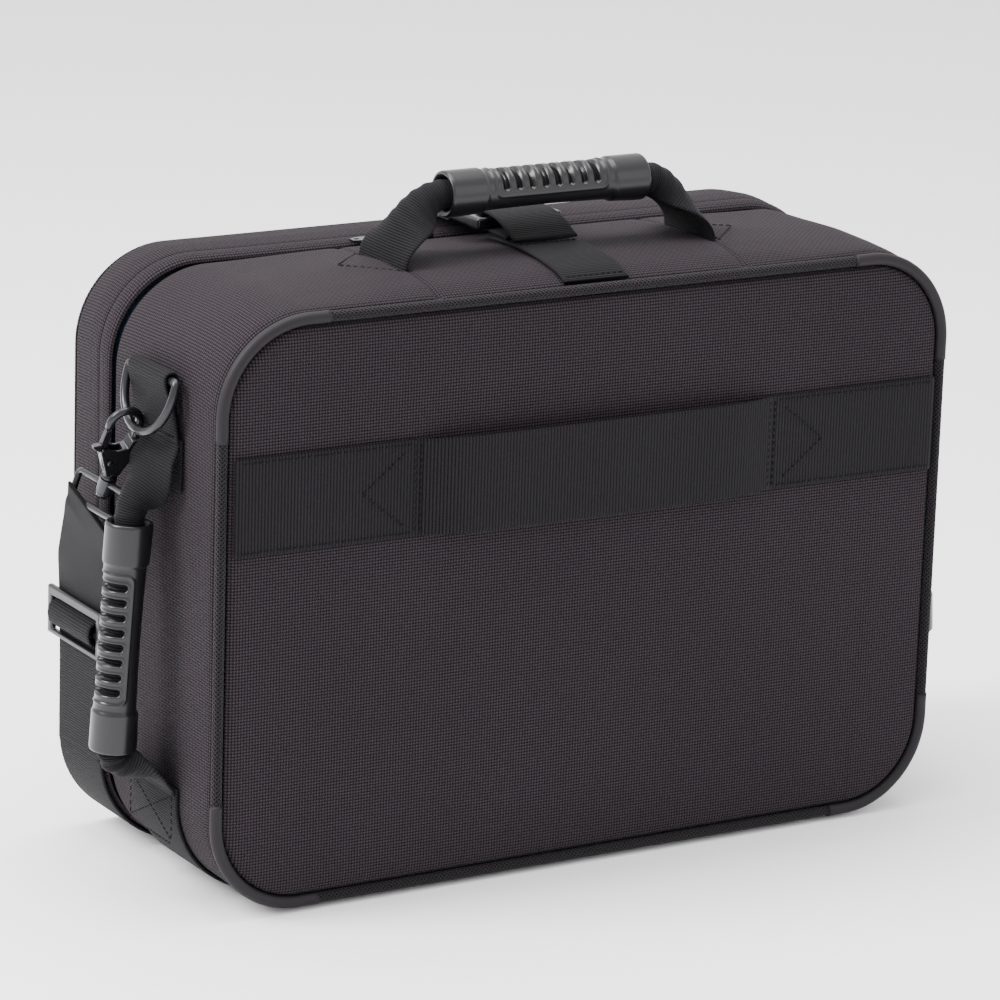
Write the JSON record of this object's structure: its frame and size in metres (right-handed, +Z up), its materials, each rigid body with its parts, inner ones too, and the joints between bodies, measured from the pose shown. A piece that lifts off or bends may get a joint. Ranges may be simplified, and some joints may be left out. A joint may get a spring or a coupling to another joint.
{
  "type": "flight bag",
  "caption": "Padded two-shell flight bag with zip lid, moulded carry grips, D-rings with snap hooks, wrapped shoulder strap, closure buckle and rear trolley band.",
  "frame": {"origin": "on the ground under the middle of the case, 84 mm in front of the rear panel's face", "axes": "+X across the width to the right-hand end, +Y to the rear panel with the trolley band, +Z up"},
  "size_m": [0.5078, 0.1842, 0.3565],
  "materials": {
    "body_fabric": "ballistic basket weave, matt",
    "webbing": "ribbed nylon webbing",
    "piping": "braided cover",
    "guard_rubber": "matt grey rubber",
    "grip_plastic": "satin moulded",
    "buckle_plastic": "satin gloss",
    "black_metal": "black coated wire",
    "zip_tape": "woven tape with coil",
    "lining": "plain woven lining",
    "divider_pad": "brushed loop fabric",
    "board": "stiff board"
  },
  "bodies": {
    "main_body": {"rear_panel": "body_fabric", "rear_board": "board", "body_lining": "lining", "body_top_panel": "body_fabric", "body_bottom_panel": "body_fabric", "body_side_gusset_right": "body_fabric", "body_side_gusset_left": "body_fabric", "divider_right": "divider_pad", "divider_left": "divider_pad", "zip_tape_body": "zip_tape", "lid_hinge_strip": "body_fabric", "rear_piping": "piping", "corner_guard_top_right": "guard_rubber", "corner_guard_top_left": "guard_rubber", "corner_guard_bottom_right": "guard_rubber", "corner_guard_bottom_left": "guard_rubber", "trolley_band": "webbing", "belly_webbing": "webbing", "side_webbing_right": "webbing", "side_webbing_left": "webbing", "ring_tab_right": "webbing", "ring_tab_left": "webbing", "strap_loop_right": "black_metal", "strap_loop_left": "black_metal", "shoulder_strap_right": "webbing", "shoulder_strap_left": "webbing", "top_handle_anchor_right": "webbing", "top_handle_anchor_left": "webbing", "closure_strap_rear": "webbing"},
    "lid": {"lid_gusset_upper": "body_fabric", "lid_gusset_lower": "body_fabric", "lid_front_panel": "body_fabric", "lid_board": "board", "lid_lining": "lining", "zip_tape_lid": "zip_tape", "shoulder_strap_under": "webbing", "buckle_socket": "buckle_plastic", "closure_strap_front": "webbing"},
    "zip_slider_right": {"zip_slider_right": "black_metal"},
    "zip_slider_left": {"zip_slider_left": "black_metal"},
    "zip_pull_right": {"zip_pull_right": "black_metal"},
    "zip_pull_left": {"zip_pull_left": "black_metal"},
    "buckle_plug": {"buckle_plug": "buckle_plastic", "plug_webbing": "webbing"},
    "top_handle": {"top_grip": "grip_plastic", "top_handle_webbing": "webbing"},
    "side_handle_right": {"side_grip_right": "grip_plastic", "side_handle_webbing_right": "webbing"},
    "d_ring_right": {"d_ring_right": "black_metal"},
    "snap_hook_right": {"snap_hook_right": "black_metal"},
    "hook_gate_right": {"hook_gate_right": "black_metal"},
    "strap_adjuster_right": {"strap_adjuster_right": "buckle_plastic", "adjuster_webbing_right": "webbing"},
    "side_handle_left": {"side_grip_left": "grip_plastic", "side_handle_webbing_left": "webbing"},
    "d_ring_left": {"d_ring_left": "black_metal"},
    "snap_hook_left": {"snap_hook_left": "black_metal"},
    "hook_gate_left": {"hook_gate_left": "black_metal"},
    "strap_adjuster_left": {"strap_adjuster_left": "buckle_plastic", "adjuster_webbing_left": "webbing"}
  },
  "joints": [
    {"name": "lid_hinge", "type": "hinge", "parent": "main_body", "child": "lid", "pos_m": [0, -0.0345, 0.001], "axis": [1, 0, 0], "range_deg": [0, 170]},
    {"name": "top_handle_swing", "type": "hinge", "parent": "main_body", "child": "top_handle", "pos_m": [0, 0.0215, 0.317], "axis": [1, 0, 0], "range_deg": [-55, 25], "deforming": ["top_handle_webbing"]},
    {"name": "buckle_release", "type": "slide", "parent": "main_body", "child": "buckle_plug", "axis": [0, 1, 0], "range_m": [0, 0.026]},
    {"name": "zip_slide_right", "type": "slide", "parent": "main_body", "child": "zip_slider_right", "axis": [1, 0, 0], "range_m": [0, 0.08]},
    {"name": "zip_pull_swing_right", "type": "hinge", "parent": "zip_slider_right", "child": "zip_pull_right", "pos_m": [0.064, -0.0345, 0.3106], "axis": [0, -1, 0], "range_deg": [0, 100]},
    {"name": "zip_slide_left", "type": "slide", "parent": "main_body", "child": "zip_slider_left", "axis": [1, 0, 0], "range_m": [-0.18, 0]},
    {"name": "zip_pull_swing_left", "type": "hinge", "parent": "zip_slider_left", "child": "zip_pull_left", "pos_m": [0.034, -0.0345, 0.3106], "axis": [0, -1, 0], "range_deg": [0, 100]},
    {"name": "side_handle_swing_right", "type": "hinge", "parent": "main_body", "child": "side_handle_right", "pos_m": [0.216, 0.0215, 0.1375], "axis": [0, 0, 1], "range_deg": [0, 25], "deforming": ["side_handle_webbing_right"]},
    {"name": "d_ring_swing_right", "type": "hinge", "parent": "main_body", "child": "d_ring_right", "pos_m": [0.219, 0.0215, 0.2685], "axis": [0, -1, 0], "range_deg": [0, 6]},
    {"name": "hook_swivel_right", "type": "hinge", "parent": "main_body", "child": "snap_hook_right", "pos_m": [0.2284, -0.00933, 0.20519], "axis": [0, 0.4695, 0.8829], "range_deg": [-15, 15]},
    {"name": "gate_press_right", "type": "hinge", "parent": "snap_hook_right", "child": "hook_gate_right", "pos_m": [0.2319, -0.00135, 0.2202], "axis": [0, -0.8829, 0.4695], "range_deg": [0, 18], "stiffness_Nm_per_rad": 0.02},
    {"name": "adjuster_slide_right", "type": "slide", "parent": "main_body", "child": "strap_adjuster_right", "axis": [0, 0, 1], "range_m": [-0.045, 0]},
    {"name": "side_handle_swing_left", "type": "hinge", "parent": "main_body", "child": "side_handle_left", "pos_m": [-0.216, 0.0215, 0.1375], "axis": [0, 0, -1], "range_deg": [0, 25], "deforming": ["side_handle_webbing_left"]},
    {"name": "d_ring_swing_left", "type": "hinge", "parent": "main_body", "child": "d_ring_left", "pos_m": [-0.219, 0.0215, 0.2685], "axis": [0, 1, 0], "range_deg": [0, 6]},
    {"name": "hook_swivel_left", "type": "hinge", "parent": "main_body", "child": "snap_hook_left", "pos_m": [-0.2284, -0.00933, 0.20519], "axis": [0, 0.4695, 0.8829], "range_deg": [-15, 15]},
    {"name": "gate_press_left", "type": "hinge", "parent": "snap_hook_left", "child": "hook_gate_left", "pos_m": [-0.2319, -0.00135, 0.2202], "axis": [0, 0.8829, -0.4695], "range_deg": [0, 18], "stiffness_Nm_per_rad": 0.02},
    {"name": "adjuster_slide_left", "type": "slide", "parent": "main_body", "child": "strap_adjuster_left", "axis": [0, 0, 1], "range_m": [-0.045, 0]}
  ]
}
